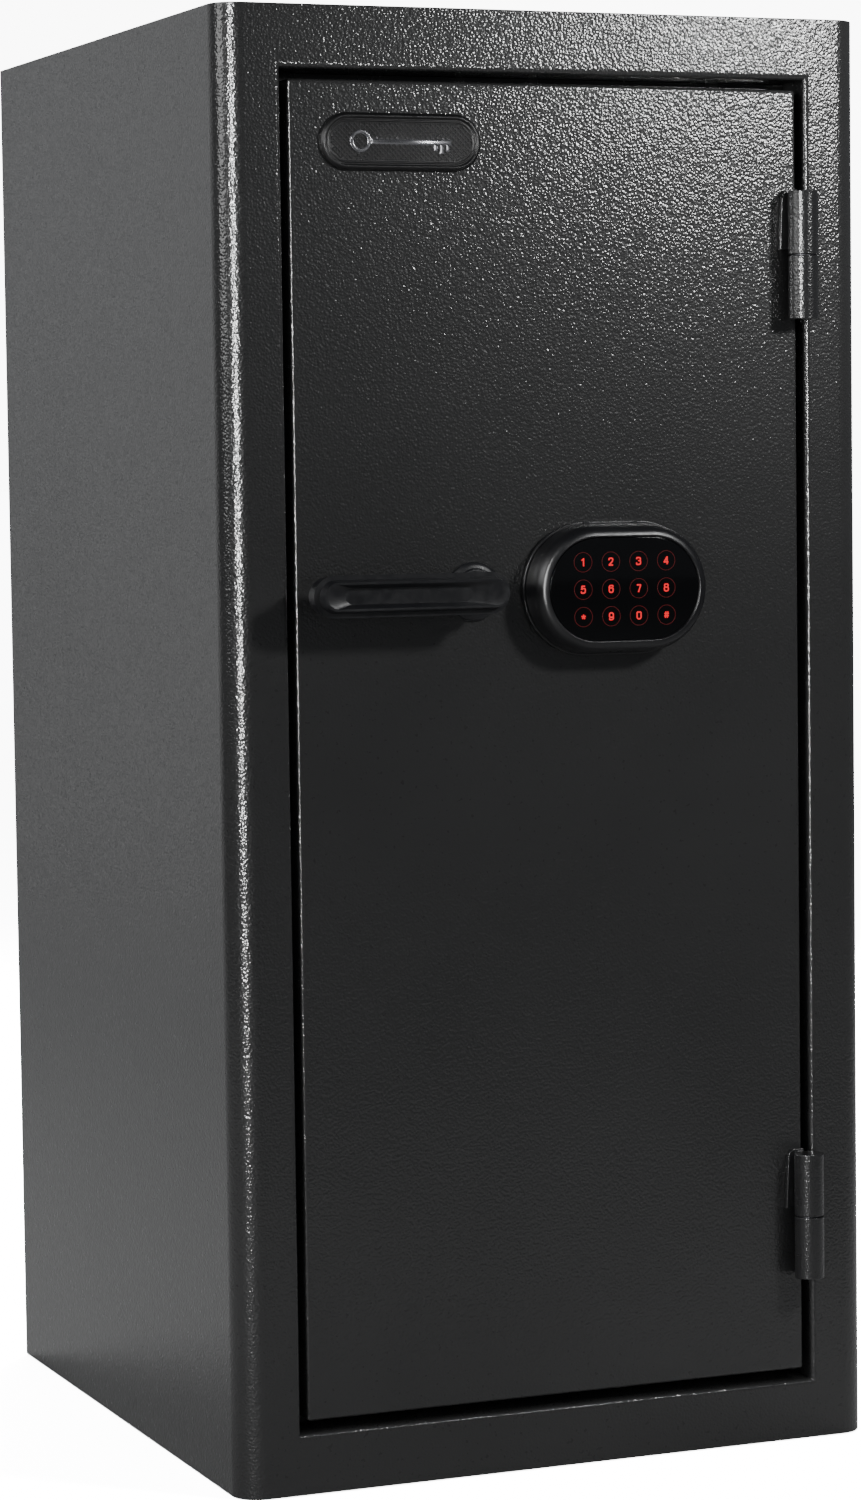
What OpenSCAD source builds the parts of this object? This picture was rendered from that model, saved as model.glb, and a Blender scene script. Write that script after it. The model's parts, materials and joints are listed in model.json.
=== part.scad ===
// Upright steel security cabinet for handguns and valuables. A recessed door hangs on two lift-off
// hinges at the right, with a lever handle and an electronic touch keypad. The lever turns a crank
// that drives three locking bolts behind the left jamb.
// Frame: +Z up, the door faces -Y, the origin is the centre of the body's underside. Millimetres.

/* [Body] */
// Width of the body
body_w = 350; // [340:1:420]
// Height of the body
body_h = 736; // [720:1:900]
// Depth of the body, from front face to back face
body_d = 372; // [340:1:450]
// Thickness of the body's steel sheet
sheet = 3; // [2:0.5:3.5]
// Outer radius of the two folded front corners
corner_r = 14; // [8:1:20]
// Width of the front face beside the door opening
side_border = 32.5; // [32:0.5:36]
// Height of the front face above the door opening
top_border = 31; // [28:1:36]
// Height of the front face below the door opening
bottom_border = 31; // [28:1:36]
// Radius of the rolled lip round the door opening
lip_r = 3; // [2:0.5:4]
// Depth of the jamb behind the front face
jamb_depth = 24; // [22:1:26]

/* [Door] */
// Gap between the door and each side of the opening
side_gap = 3.9; // [3:0.1:5]
// Gap above the door
top_gap = 5; // [4:0.5:6]
// Gap below the door
bottom_gap = 5.5; // [4:0.5:6]
// How far the door's face sits behind the front face
door_recess = 2; // [1:0.5:3]
// Thickness of the door's steel
door_sheet = 3; // [2:0.5:4]
// Depth of the folded door pan
pan_depth = 20; // [18:1:21]
// Outer radius of the pan's folds
fold_r = 2.2; // [1:0.2:2.8]
// Depth from the front face to the back of the inner cover
cover_back = 52; // [50:1:56]

/* [Hinges] */
// Radius of the hinge barrels
barrel_r = 7.7; // [7:0.1:8.5]
// Radius of the hinge pins
pin_r = 4; // [3:0.25:4.5]
// Height of each knuckle
knuckle_h = 32.3; // [28:0.1:36]
// Height of the joint between the knuckles of the lower hinge
lower_hinge_z = 119.5; // [100:0.5:160]
// Height of the joint between the knuckles of the upper hinge
upper_hinge_z = 615.5; // [560:0.5:620]

/* [Bolts] */
// Radius of the moving locking bolts
bolt_r = 9; // [8:0.5:9.5]
// Radius of the fixed bolts on the hinge side
fixed_bolt_r = 8; // [6:0.5:9]
// Distance between neighbouring bolts
bolt_pitch = 220; // [180:5:225]
// Throw radius of the crank that moves the bolts
crank_throw = 17; // [15:0.5:17]

/* [Handle] */
// Distance of the handle's pivot left of the centre
handle_x = 43.5; // [42:0.5:50]
// Height of the handle and the keypad
handle_z = 448; // [440:1:460]
// Length of the lever
lever_len = 102; // [90:1:102]
// Height of the lever
lever_h = 19.5; // [16:0.5:20]
// How far the lever's front stands out from the front face
lever_out = 30; // [28:1:36]

/* [Keypad] */
// Distance of the keypad's middle right of the centre
keypad_x = 31.3; // [30:0.1:33]
// Overall width of the keypad housing
keypad_w = 98; // [92:1:98]
// Overall height of the keypad housing
keypad_h = 67.2; // [64:0.2:70]
// How far the keypad's rim stands out from the front face
keypad_out = 17.5; // [17:0.5:20]
// Width of the rim round the touch panel
keypad_rim = 8.1; // [6:0.1:9]
// Distance between key columns
key_pitch_x = 15.3; // [14:0.1:16]
// Distance between key rows
key_pitch_z = 13.7; // [13:0.1:14]

/* [Badge] */
// Width of the badge
badge_w = 85; // [70:1:95]
// Height of the badge
badge_h = 28.3; // [24:0.1:32]
// Distance of the badge's middle left of the centre
badge_x = 79.6; // [75:0.1:85]
// Height of the badge's middle
badge_z = 670; // [640:1:675]

/* [Inside] */
// Height of the shelf's top face
shelf_z = 480; // [300:10:600]
// Distance between anchor holes, side to side
anchor_x = 230; // [180:5:250]
// Distance between floor anchor holes, front to back
anchor_y = 220; // [160:5:240]
// Height of the two anchor holes in the back panel
anchor_z = 650; // [620:5:680]
// Radius of the anchor holes
anchor_r = 5.5; // [4:0.5:6.5]

/* [Hidden] */
$fn = 48;
ends = ["upper", "lower"];
places = ["top", "middle", "bottom"];

// Working distances. Y runs from 0 at the front face into the body; in_place() moves it to the frame.
past = 1;                                   // how far a cut runs past a surface
fit = 0.02;                                 // radial play of a pressed fit
running = 0.06;                             // radial play of a running fit

// Door opening and door outline
open_hw = body_w / 2 - side_border;
open_z0 = bottom_border;
open_z1 = body_h - top_border;
stop_lap = 6;                               // how far the stop frame reaches into the opening
stop_t = 2;
stop_weld = 8;                              // how far the stop frame reaches behind the front face's sheet
stop_back = jamb_depth + stop_t;
door_hw = open_hw - side_gap;
door_z0 = open_z0 + bottom_gap;
door_z1 = open_z1 - top_gap;
door_zc = (door_z0 + door_z1) / 2;
door_back = door_recess + door_sheet;       // back of the door's front plate
pan_back = door_recess + pan_depth;
pan_lip = 18;                               // width of the pan's inward lip
seal_t = 1.4;
seal_w = 5;
seal_inset = 0.3;                           // between the seal and the jamb

// Inner cover
cover_t = 1.5;
cover_hw = 126;
cover_margin = 14;                          // from the door's top and bottom edges to the cover's walls
cover_flange = 6;
cover_z0 = door_z0 + cover_margin;
cover_z1 = door_z1 - cover_margin;

// Hinges
hinge_x = 137.3;
hinge_y = -8.2;
knuckle_gap = 0.3;                          // half the gap between two knuckles
leaf_t = 3;
leaf_y = [-4, 18];                          // the fixed leaf runs from under the barrel to its weld on the jamb
leaf_drop = 3.3;                            // from the joint down to the top of the fixed leaf
door_leaf_x = [127.8, 129.2, 138];          // left edge at the foot and at the head, then the right edge
door_leaf_z = [3, 34];                      // foot and head, above the joint
door_leaf_r = 4;
pin_reach = 24;                             // how far a pin enters each knuckle
hinge_z = [upper_hinge_z, lower_hinge_z];

// Boltwork
bolt_y = 36.5;
bolt_z = [for (i = [1, 0, -1]) door_zc + i * bolt_pitch];
bolt_tip = -129;
bolt_root = -64;
bar_t = 4;
bar_y0 = bolt_y - 11;
bar_y1 = bolt_y + 11;
channel_t = 2.5;
channel_x0 = -118;
channel_x1 = -93.5;
channel_depth = 42;
channel_z0 = bolt_z[2] - 38;
channel_z1 = bolt_z[0] + 38;
fixed_tip = 150;
crank_y0 = 28;
crank_t = 3;
spindle_r = 5;
spindle_end = crank_y0 + crank_t + 0.8;
spindle_front = -20;                        // the spindle's outer end, inside the lever
bush_r = 8;
crank_hub_r = 9;
crank_tip_r = 6;
crank_arm_hw = 5;
crank_screw_r = 2;
pin_offset = crank_throw * sin(45);         // the crank pin's rest place, right of and below the spindle
drive_y0 = 33;
drive_t = 3;
crank_pin_r = 3;
slot_play = 0.7;                            // the pin's arc strays this little from a steady slide
bolt_screw_r = 3;
drive_x = -20;                              // right edge of the drive plate
drive_z = [-30, -6.5];                      // foot and head of the drive plate, from the spindle's height
slot_foot = 22;                             // how far the slot reaches below the spindle

// Solenoid
sol_x = -71;
sol_y = 14;
sol_z0 = 320;
sol_z1 = 360;
sol_hw = 12;
sol_back = 23;
sol_side = 2.5;                             // thickness of the frame's two sides
sol_end = 3;                                // thickness of its top and bottom
coil_r = 8;
plunger_r = 3;
plunger_top = 371;
lug_y0 = 10;
lug_z = [374, 386];                         // the lug clears the plunger until the plunger rises

// Electronics
box_x = [6, 56];
box_z = [420, 476];
box_back = 24;
pack_x = [-1, 63];                          // battery holder
pack_z = [419, 477];
pack_back = 72;
cell_r = 7.1;
pack_wall = 2;
lid_y = [68.6, 70.2];
lid_groove = 0.2;                           // play of the lid in its grooves
cell_pitch = 15;
cell_h = 49;
cell_y = 61.2;
button_x = 76;
button_r = 4;
wire_r = 1.5;

// Front furniture. Heights w are measured outwards from the front face.
lever_r = lever_h / 2;
lever_right = -36;
lever_mid = lever_right - lever_len / 2;
lever_run = lever_len / 2 - lever_r;
lever_back = 15;
recess_depth = 4;                           // the hollow in the lever's front
recess_rim = 2.4;
neck_r = 7.5;
rosette_r = 14.8;
rosette_top = 2.3;
keypad_r = keypad_h / 2;
keypad_run = keypad_w / 2 - keypad_r;
panel_r = keypad_r - keypad_rim;
panel_top = keypad_out - 0.9;
panel_t = 1.8;
gasket_t = 0.8;
boss_x = keypad_run + panel_r + 1.2;        // screw bosses at the two ends of the housing
boss_screw_r = 2;
lead_hole_r = 6;
ring_r = 5.25;                              // printed ring round a key
ring_line = 0.28;
ring_ink = 0.1;
badge_r = badge_h / 2;
badge_run = badge_w / 2 - badge_r;

// ---------- Helpers ----------

// Moves a piece drawn from the front face into the part's own frame
module in_place() translate([0, -body_d / 2, 0]) children();

// A box between two opposite corners
module box(lo, hi) translate(lo) cube(hi - lo);

// A rectangle between two opposite corners
module rect(x0, x1, y0, y1) translate([x0, y0]) square([x1 - x0, y1 - y0]);

// A 2D outline in X and Z, made solid from y0 to y1
module across(y0, y1) translate([0, y1, 0]) rotate([90, 0, 0]) linear_extrude(y1 - y0) children();

// A 2D outline in X and Y, made solid from z0 to z1
module upright(z0, z1) translate([0, 0, z0]) linear_extrude(z1 - z0) children();

// A 2D outline in Y and Z, made solid from x0 to x1
module sideways(x0, x1) translate([x0, 0, 0]) rotate([90, 0, 90]) linear_extrude(x1 - x0) children();

// Rods along each axis
module rod_x(x0, x1, y, z, r) translate([x0, y, z]) rotate([0, 90, 0]) cylinder(h = x1 - x0, r = r);
module rod_y(y0, y1, x, z, r) translate([x, y0, z]) rotate([-90, 0, 0]) cylinder(h = y1 - y0, r = r);
module rod_z(z0, z1, x, y, r) translate([x, y, z0]) cylinder(h = z1 - z0, r = r);

// What rounding removes from a corner. turn is 0 for the corner at +X +Y, then steps of 90.
module corner_trim(x, y, r, turn)
    translate([x, y]) rotate(turn) difference() {
        translate([-r, -r]) square(r + past);
        translate([-r, -r]) circle(r);
    }

module rounded_rect(x0, x1, y0, y1, r) difference() {
    rect(x0, x1, y0, y1);
    corner_trim(x1, y1, r, 0);
    corner_trim(x0, y1, r, 90);
    corner_trim(x0, y0, r, 180);
    corner_trim(x1, y0, r, 270);
}

// Stands a piece on the front face at (x, z): its own Z points out at the viewer
module facing(x, z) translate([x, 0, z]) rotate([90, 0, 0]) children();

module stadium(run, r) {
    rect(-run, run, -r, r);
    for (side = [-1, 1]) translate([side * run, 0]) circle(r);
}

// Carries a half profile (distance out, height) round a stadium
module stadium_sweep(run) {
    for (side = [0, 180])
        rotate(side) translate([run, 0, 0]) rotate(-90) rotate_extrude(angle = 180) children();
    translate([-run, 0, 0]) rotate([90, 0, 90]) linear_extrude(2 * run) {
        children();
        mirror([1, 0]) children();
    }
}

// ---------- Cabinet ----------

// Plan of the body, inset from its outer face, with rounded front corners
module body_plan(inset, back) difference() {
    rect(-body_w / 2 + inset, body_w / 2 - inset, inset, back);
    corner_trim(body_w / 2 - inset, inset, corner_r - inset, 270);
    corner_trim(-body_w / 2 + inset, inset, corner_r - inset, 180);
}

// Section of the door opening: a straight cut that flares to a rolled lip at the front face
module lip_section(lo, hi) {
    rect(lo, hi, -past, jamb_depth + past);
    difference() {
        rect(lo - lip_r, hi + lip_r, -past, lip_r);
        for (edge = [lo - lip_r, hi + lip_r]) translate([edge, lip_r]) circle(lip_r);
    }
}

// Sides, front face and jamb, folded from one sheet
module body_wrap() color([0.24, 0.24, 0.25]) in_place() difference() {
    union() {
        difference() {
            upright(0, body_h) body_plan(0, body_d);
            upright(-past, body_h + past) body_plan(sheet, body_d + past);
        }
        box([-open_hw - lip_r, sheet / 2, open_z0 - lip_r], [open_hw + lip_r, jamb_depth, open_z1 + lip_r]);
    }
    intersection() {
        upright(0, body_h) lip_section(-open_hw, open_hw);
        sideways(-body_w / 2, body_w / 2) mirror([1, -1]) lip_section(open_z0, open_z1);
    }
}

module top_plate() color([0.22, 0.22, 0.23]) in_place()
    upright(body_h - sheet, body_h) body_plan(sheet, body_d - sheet);

// Where the floor anchors pass, as [x, y] from the front face
anchor_spots = [for (x = [-1, 1], y = [-1, 1]) [x * anchor_x / 2, body_d / 2 + y * anchor_y / 2]];

module bottom_plate() color([0.22, 0.22, 0.23]) in_place() difference() {
    upright(0, sheet) body_plan(sheet, body_d - sheet);
    for (p = anchor_spots) rod_z(-past, sheet + past, p[0], p[1], anchor_r);
}

module back_panel() color([0.22, 0.22, 0.23]) in_place() difference() {
    box([-body_w / 2 + sheet, body_d - sheet, 0], [body_w / 2 - sheet, body_d, body_h]);
    for (side = [-1, 1])
        rod_y(body_d - sheet - past, body_d + past, side * anchor_x / 2, anchor_z, anchor_r);
}

// Flat ring that the door closes against
module ring(hw, z0, z1, inner_hw, inner_z0, inner_z1) difference() {
    rect(-hw, hw, z0, z1);
    rect(-inner_hw, inner_hw, inner_z0, inner_z1);
}

module door_stop_frame() color([0.2, 0.2, 0.21]) in_place() across(jamb_depth, stop_back)
    ring(open_hw + stop_weld, open_z0 - stop_weld, open_z1 + stop_weld,
         open_hw - stop_lap, open_z0 + stop_lap, open_z1 - stop_lap);

module door_seal() color([0.05, 0.05, 0.05]) in_place() across(jamb_depth - seal_t, jamb_depth) {
    inner = seal_inset + seal_w;
    ring(open_hw - seal_inset, open_z0 + seal_inset, open_z1 - seal_inset,
         open_hw - inner, open_z0 + inner, open_z1 - inner);
}

// ---------- Hinges ----------

// Lower knuckle. Its leaf runs back through the gap beside the door and is welded to the jamb.
module hinge_knuckle_fixed(z) color([0.25, 0.25, 0.26]) in_place() difference() {
    union() {
        rod_z(z - knuckle_gap - knuckle_h, z - knuckle_gap, hinge_x, hinge_y, barrel_r);
        box([open_hw - leaf_t, leaf_y[0], z - knuckle_h], [open_hw, leaf_y[1], z - leaf_drop]);
    }
    rod_z(z - pin_reach - past, z, hinge_x, hinge_y, pin_r + fit);
}

// Upper knuckle, with its leaf on the door's face to the left of the barrel
module hinge_knuckle_door(z) color([0.25, 0.25, 0.26]) in_place() difference() {
    union() {
        rod_z(z + knuckle_gap, z + knuckle_gap + knuckle_h, hinge_x, hinge_y, barrel_r);
        across(door_recess - leaf_t, door_recess) difference() {
            polygon([
                [door_leaf_x[0], z + door_leaf_z[0]], [door_leaf_x[2], z + door_leaf_z[0]],
                [door_leaf_x[2], z + door_leaf_z[1]], [door_leaf_x[1], z + door_leaf_z[1]]
            ]);
            corner_trim(door_leaf_x[1], z + door_leaf_z[1], door_leaf_r, 90);
        }
    }
    rod_z(z, z + pin_reach + past, hinge_x, hinge_y, pin_r + running);
}

module hinge_pin(z) color([0.7, 0.7, 0.7]) in_place() {
    rod_z(z - pin_reach, z + pin_reach - 1, hinge_x, hinge_y, pin_r);
    translate([hinge_x, hinge_y, z + pin_reach - 1]) cylinder(h = 1, r1 = pin_r, r2 = pin_r - 1);
}

module hinge_washer(z) color([0.75, 0.6, 0.3]) in_place() difference() {
    rod_z(z - 0.25, z + 0.25, hinge_x, hinge_y, barrel_r - 1.2);
    rod_z(z - past, z + past, hinge_x, hinge_y, pin_r + 0.15);
}

// ---------- Inside the cabinet ----------

shelf_y0 = 96;
shelf_y1 = body_d - 6;
shelf_t = 1.5;
shelf_hw = body_w / 2 - sheet - 1;
flange_h = 18;

module shelf() color([0.3, 0.3, 0.31]) in_place() {
    box([-shelf_hw, shelf_y0, shelf_z - shelf_t], [shelf_hw, shelf_y1, shelf_z]);
    box([-shelf_hw, shelf_y0, shelf_z - flange_h], [shelf_hw, shelf_y0 + shelf_t, shelf_z - shelf_t]);
    box([-shelf_hw, shelf_y1 - shelf_t, shelf_z - flange_h], [shelf_hw, shelf_y1, shelf_z - shelf_t]);
}

module shelf_mat() color([0.3, 0.3, 0.32]) in_place()
    box([-shelf_hw + 1, shelf_y0 + 2, shelf_z], [shelf_hw - 1, shelf_y1 - 1, shelf_z + 2]);

// Four angle clips welded to the side walls, under the shelf
module shelf_brackets() color([0.4, 0.4, 0.41]) in_place()
    for (side = [0, 1], y = [shelf_y0 + 34, shelf_y1 - 64])
        mirror([side, 0, 0]) {
            wall = body_w / 2 - sheet;
            under = shelf_z - shelf_t;
            box([wall - 18, y, under - 2], [wall, y + 30, under]);
            box([wall - 2, y, under - 24], [wall, y + 30, under - 2]);
        }

module floor_mat() color([0.28, 0.28, 0.3]) in_place() difference() {
    box([-body_w / 2 + sheet + 1, stop_back + 1, sheet], [body_w / 2 - sheet - 1, body_d - sheet - 1, sheet + 2.5]);
    for (p = anchor_spots) rod_z(sheet - past, sheet + 4, p[0], p[1], anchor_r + 4);
}

// ---------- Door ----------

// Section of the pan's front edges, rounded where the sheet folds
module pan_section(lo, hi) difference() {
    rect(lo, hi, door_recess, pan_back);
    corner_trim(hi, door_recess, fold_r, 270);
    corner_trim(lo, door_recess, fold_r, 180);
}

module door_panel() color([0.24, 0.24, 0.25]) in_place() difference() {
    intersection() {
        upright(door_z0, door_z1) pan_section(-door_hw, door_hw);
        sideways(-door_hw, door_hw) mirror([1, -1]) pan_section(door_z0, door_z1);
        across(0, pan_back) rounded_rect(-door_hw, door_hw, door_z0, door_z1, 2.5);
    }
    box([-door_hw + door_sheet, door_back, door_z0 + door_sheet],
        [door_hw - door_sheet, pan_back - door_sheet, door_z1 - door_sheet]);
    box([-door_hw + pan_lip, door_back, door_z0 + pan_lip], [door_hw - pan_lip, pan_back + past, door_z1 - pan_lip]);
    rod_y(0, door_back + past, -handle_x, handle_z, bush_r + fit);
    rod_y(0, door_back + past, keypad_x, handle_z, lead_hole_r);
    for (side = [-1, 1]) rod_y(0, door_back + past, keypad_x + side * boss_x, handle_z, boss_screw_r + 0.2);
}

// Back cover: a tray whose flange lies on the pan's lips
module door_inner_cover() color([0.3, 0.3, 0.31]) in_place() difference() {
    union() {
        box([-cover_hw, pan_back, cover_z0], [cover_hw, cover_back, cover_z1]);
        box([-cover_hw - cover_flange, pan_back, cover_z0 - cover_flange],
            [cover_hw + cover_flange, pan_back + cover_t, cover_z1 + cover_flange]);
    }
    box([-cover_hw + cover_t, pan_back - past, cover_z0 + cover_t],
        [cover_hw - cover_t, cover_back - cover_t, cover_z1 - cover_t]);
    for (z = bolt_z) {
        rod_x(-cover_hw - past, -cover_hw + 4, bolt_y, z, bolt_r + 0.8);
        rod_x(cover_hw - 4, cover_hw + past, bolt_y, z, fixed_bolt_r + 0.6);
    }
    rod_y(cover_back - 4, cover_back + past, button_x, handle_z, button_r + 0.15);
}

// Screw spots round the cover's flange, as [x, z]
side_screw_z = [for (i = [-2:2]) door_zc + i * 150];
flange_mid = cover_flange / 2;
screw_spots = concat(
    [for (side = [-1, 1], z = side_screw_z) [side * (cover_hw + flange_mid), z]],
    [for (x = [-60, 60], z = [cover_z0 - flange_mid, cover_z1 + flange_mid]) [x, z]]
);

module cover_screws() color([0.6, 0.6, 0.6]) in_place()
    for (p = screw_spots)
        translate([p[0], pan_back + cover_t, p[1]]) rotate([-90, 0, 0]) difference() {
            union() {
                cylinder(h = 0.8, r = 2.8);
                translate([0, 0, 0.8]) cylinder(h = 0.6, r1 = 2.8, r2 = 1.8);
            }
            for (turn = [0, 90]) rotate(turn) translate([-1.6, -0.3, 0.6]) cube([3.2, 0.6, 2]);
        }

module badge_plate() color([0.12, 0.12, 0.13]) in_place() facing(-badge_x, badge_z)
    stadium_sweep(badge_run) polygon([
        [0, -door_recess], [badge_r, -door_recess], [badge_r, -0.4], [badge_r - 1.3, 1],
        [badge_r - 2.9, 1], [badge_r - 3.3, 0.2], [0, 0.2]
    ]);

module badge_inlay() color([0.08, 0.08, 0.09]) in_place() facing(-badge_x, badge_z)
    translate([0, 0, 0.2]) linear_extrude(0.4) stadium(badge_run, badge_r - 3.6);

module handle_rosette() color([0.07, 0.07, 0.08]) in_place() facing(-handle_x, handle_z)
    rotate_extrude() polygon([
        [8.2, -door_recess], [rosette_r, -door_recess], [rosette_r, -0.5], [rosette_r - 1, 0.8],
        [11.6, 1.4], [10.8, rosette_top], [8.2, rosette_top]
    ]);

module spindle_bush() color([0.75, 0.6, 0.3]) in_place() difference() {
    union() {
        rod_y(-1.5, door_back, -handle_x, handle_z, bush_r);
        rod_y(door_back, door_back + 2, -handle_x, handle_z, bush_r + 3);
    }
    rod_y(-4, door_back + 4, -handle_x, handle_z, spindle_r + running);
}

// ---------- Keypad ----------

module keypad_gasket() color([0.03, 0.03, 0.03]) in_place() facing(keypad_x, handle_z)
    translate([0, 0, -door_recess]) linear_extrude(gasket_t) difference() {
        stadium(keypad_run, keypad_r - 0.6);
        circle(7);
        for (side = [-1, 1]) translate([side * boss_x, 0]) circle(boss_screw_r + 0.4);
    }

module keypad_housing() color([0.07, 0.07, 0.08]) in_place() facing(keypad_x, handle_z) {
    base = gasket_t - door_recess;
    ceiling = panel_top - panel_t - 1;
    difference() {
        union() {
            stadium_sweep(keypad_run) difference() {
                rect(0, keypad_r, base, keypad_out);
                corner_trim(keypad_r, keypad_out, 7, 0);
                rect(-past, keypad_r - 2.4, base - past, ceiling);
                rect(-past, panel_r - 3, ceiling - past, keypad_out);
                rect(-past, panel_r + 0.1, panel_top - panel_t, keypad_out + past);
            }
            for (side = [-1, 1])
                translate([side * boss_x, 0, base]) cylinder(h = ceiling - base + 0.5, r = 3.6);
        }
        for (side = [-1, 1]) translate([side * boss_x, 0, base - past]) cylinder(h = 10, r = boss_screw_r + fit);
    }
}

module keypad_touch_panel() color([0.01, 0.01, 0.01]) in_place() facing(keypad_x, handle_z)
    translate([0, 0, panel_top - panel_t]) linear_extrude(panel_t) stadium(keypad_run, panel_r);

// Printed ring round each of the twelve touch keys
module keypad_rings() color([0.5, 0.05, 0.05]) in_place() facing(keypad_x, handle_z)
    for (column = [-1.5:1.5], row = [-1:1])
        translate([column * key_pitch_x, row * key_pitch_z, panel_top]) difference() {
            cylinder(h = ring_ink, r = ring_r);
            translate([0, 0, -past]) cylinder(h = ring_ink + 2 * past, r = ring_r - ring_line);
        }

module keypad_board() color([0.1, 0.35, 0.15]) in_place() facing(keypad_x, handle_z)
    translate([0, 0, 10]) linear_extrude(1.6) stadium(keypad_run, panel_r - 3.5);

module keypad_screws() color([0.6, 0.6, 0.6]) in_place()
    for (side = [-1, 1]) {
        rod_y(-6, door_back, keypad_x + side * boss_x, handle_z, boss_screw_r);
        rod_y(door_back, door_back + 2.4, keypad_x + side * boss_x, handle_z, 2 * boss_screw_r);
    }

module keypad_lead() color([0.1, 0.1, 0.1]) in_place() rod_y(-10, 9, keypad_x, handle_z, 2.2);

// ---------- Boltwork that stays put on the door ----------

// Channel with two drilled webs that carry the bolts
module guide_channel(hole_r) difference() {
    box([channel_x0, door_back, channel_z0], [channel_x1, door_back + channel_depth, channel_z1]);
    box([channel_x0 + channel_t, door_back + channel_t, channel_z0 - past],
        [channel_x1 - channel_t, door_back + channel_depth + past, channel_z1 + past]);
    for (z = bolt_z) rod_x(channel_x0 - past, channel_x1 + past, bolt_y, z, hole_r);
}

module bolt_channel() color([0.6, 0.6, 0.62]) in_place() guide_channel(bolt_r + running);

module fixed_bolt_channel() color([0.6, 0.6, 0.62]) in_place() mirror([1, 0, 0])
    guide_channel(fixed_bolt_r + fit);

module fixed_bolt(z) color([0.75, 0.75, 0.76]) in_place() {
    rod_x(-channel_x1 - 3, fixed_tip - 1.5, bolt_y, z, fixed_bolt_r);
    translate([fixed_tip - 1.5, bolt_y, z]) rotate([0, 90, 0])
        cylinder(h = 1.5, r1 = fixed_bolt_r, r2 = fixed_bolt_r - 1.5);
}

module solenoid_frame() color([0.6, 0.6, 0.58]) in_place() difference() {
    box([sol_x - sol_hw, door_back, sol_z0], [sol_x + sol_hw, sol_back, sol_z1]);
    box([sol_x - sol_hw + sol_side, door_back - past, sol_z0 + sol_end],
        [sol_x + sol_hw - sol_side, sol_back + past, sol_z1 - sol_end]);
    rod_z(sol_z1 - sol_end - past, sol_z1 + past, sol_x, sol_y, plunger_r + running);
}

module solenoid_coil() color([0.55, 0.3, 0.12]) in_place() difference() {
    rod_z(sol_z0 + sol_end, sol_z1 - sol_end, sol_x, sol_y, coil_r);
    rod_z(sol_z0 + 2 * sol_end, sol_z1, sol_x, sol_y, plunger_r + 0.3);
}

// Two-core lead from the control box down and across to the solenoid
module solenoid_lead() color([0.1, 0.1, 0.1]) in_place() {
    lead_x = 20;
    lead_z = 345;
    bend = 7;
    rod_z(lead_z + bend, box_z[0], lead_x, sol_y, wire_r);
    translate([lead_x - bend, sol_y, lead_z + bend]) rotate([90, 0, 0]) rotate(-90)
        rotate_extrude(angle = 90) translate([bend, 0]) circle(wire_r);
    rod_x(sol_x + sol_hw, lead_x - bend, sol_y, lead_z, wire_r);
}

module control_box() color([0.12, 0.12, 0.13]) in_place() difference() {
    box([box_x[0], door_back, box_z[0]], [box_x[1], box_back, box_z[1]]);
    box([box_x[0] + 2, door_back - past, box_z[0] + 2], [box_x[1] - 2, box_back - 2, box_z[1] - 2]);
}

module control_board() color([0.1, 0.35, 0.15]) in_place()
    box([box_x[0] + 2.5, 9, box_z[0] + 2.5], [box_x[1] - 2.5, 10.6, box_z[1] - 2.5]);

module battery_holder() color([0.12, 0.12, 0.13]) in_place() difference() {
    box([pack_x[0], cover_back, pack_z[0]], [pack_x[1], pack_back, pack_z[1]]);
    box([pack_x[0] + pack_wall, cover_back + 1.5, pack_z[0] + pack_wall],
        [pack_x[1] - pack_wall, pack_back + past, pack_z[1] - pack_wall]);
    box([pack_x[0] + 1 - lid_groove, lid_y[0] - lid_groove, pack_z[0] + 1 - lid_groove],
        [pack_x[1] - 1 + lid_groove, lid_y[1] + lid_groove, pack_z[1] + past]);
    box([pack_x[0] + pack_wall, lid_y[0] - lid_groove, pack_z[1] - pack_wall - past],
        [pack_x[1] - pack_wall, pack_back + past, pack_z[1] + past]);
}

// Four cells side by side, each with its positive cap
module batteries() color([0.15, 0.35, 0.25]) in_place()
    for (i = [0:3]) {
        x = pack_x[0] + pack_wall + 7.5 + cell_pitch * i;
        foot = pack_z[0] + pack_wall + 1;
        rod_z(foot, foot + cell_h, x, cell_y, cell_r);
        rod_z(foot + cell_h, foot + cell_h + 1.4, x, cell_y, 2.6);
    }

// ---------- Handle: turns on the door ----------

module lever_handle() color([0.08, 0.08, 0.09]) in_place() difference() {
    union() {
        facing(lever_mid, handle_z) stadium_sweep(lever_run) polygon([
            [0, lever_back], [lever_r - 2.2, lever_back], [lever_r, lever_back + 2.5],
            [lever_r, lever_out - 3], [lever_r - 0.9, lever_out - 0.8], [lever_r - 2, lever_out], [0, lever_out]
        ]);
        rod_y(-lever_back - 1, -rosette_top - 0.3, -handle_x, handle_z, neck_r);
    }
    facing(lever_mid + 1.9, handle_z) stadium_sweep(lever_run - 0.4) polygon([
        [0, lever_out - recess_depth], [3, lever_out - recess_depth],
        [lever_r - recess_rim, lever_out + 0.2], [0, lever_out + 0.2]
    ]);
    rod_y(spindle_front - past, 0, -handle_x, handle_z, spindle_r + fit);
}

module handle_spindle() color([0.7, 0.7, 0.7]) in_place() difference() {
    rod_y(spindle_front, spindle_end, -handle_x, handle_z, spindle_r);
    rod_y(20, spindle_end + past, -handle_x, handle_z, crank_screw_r + fit);
}

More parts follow.
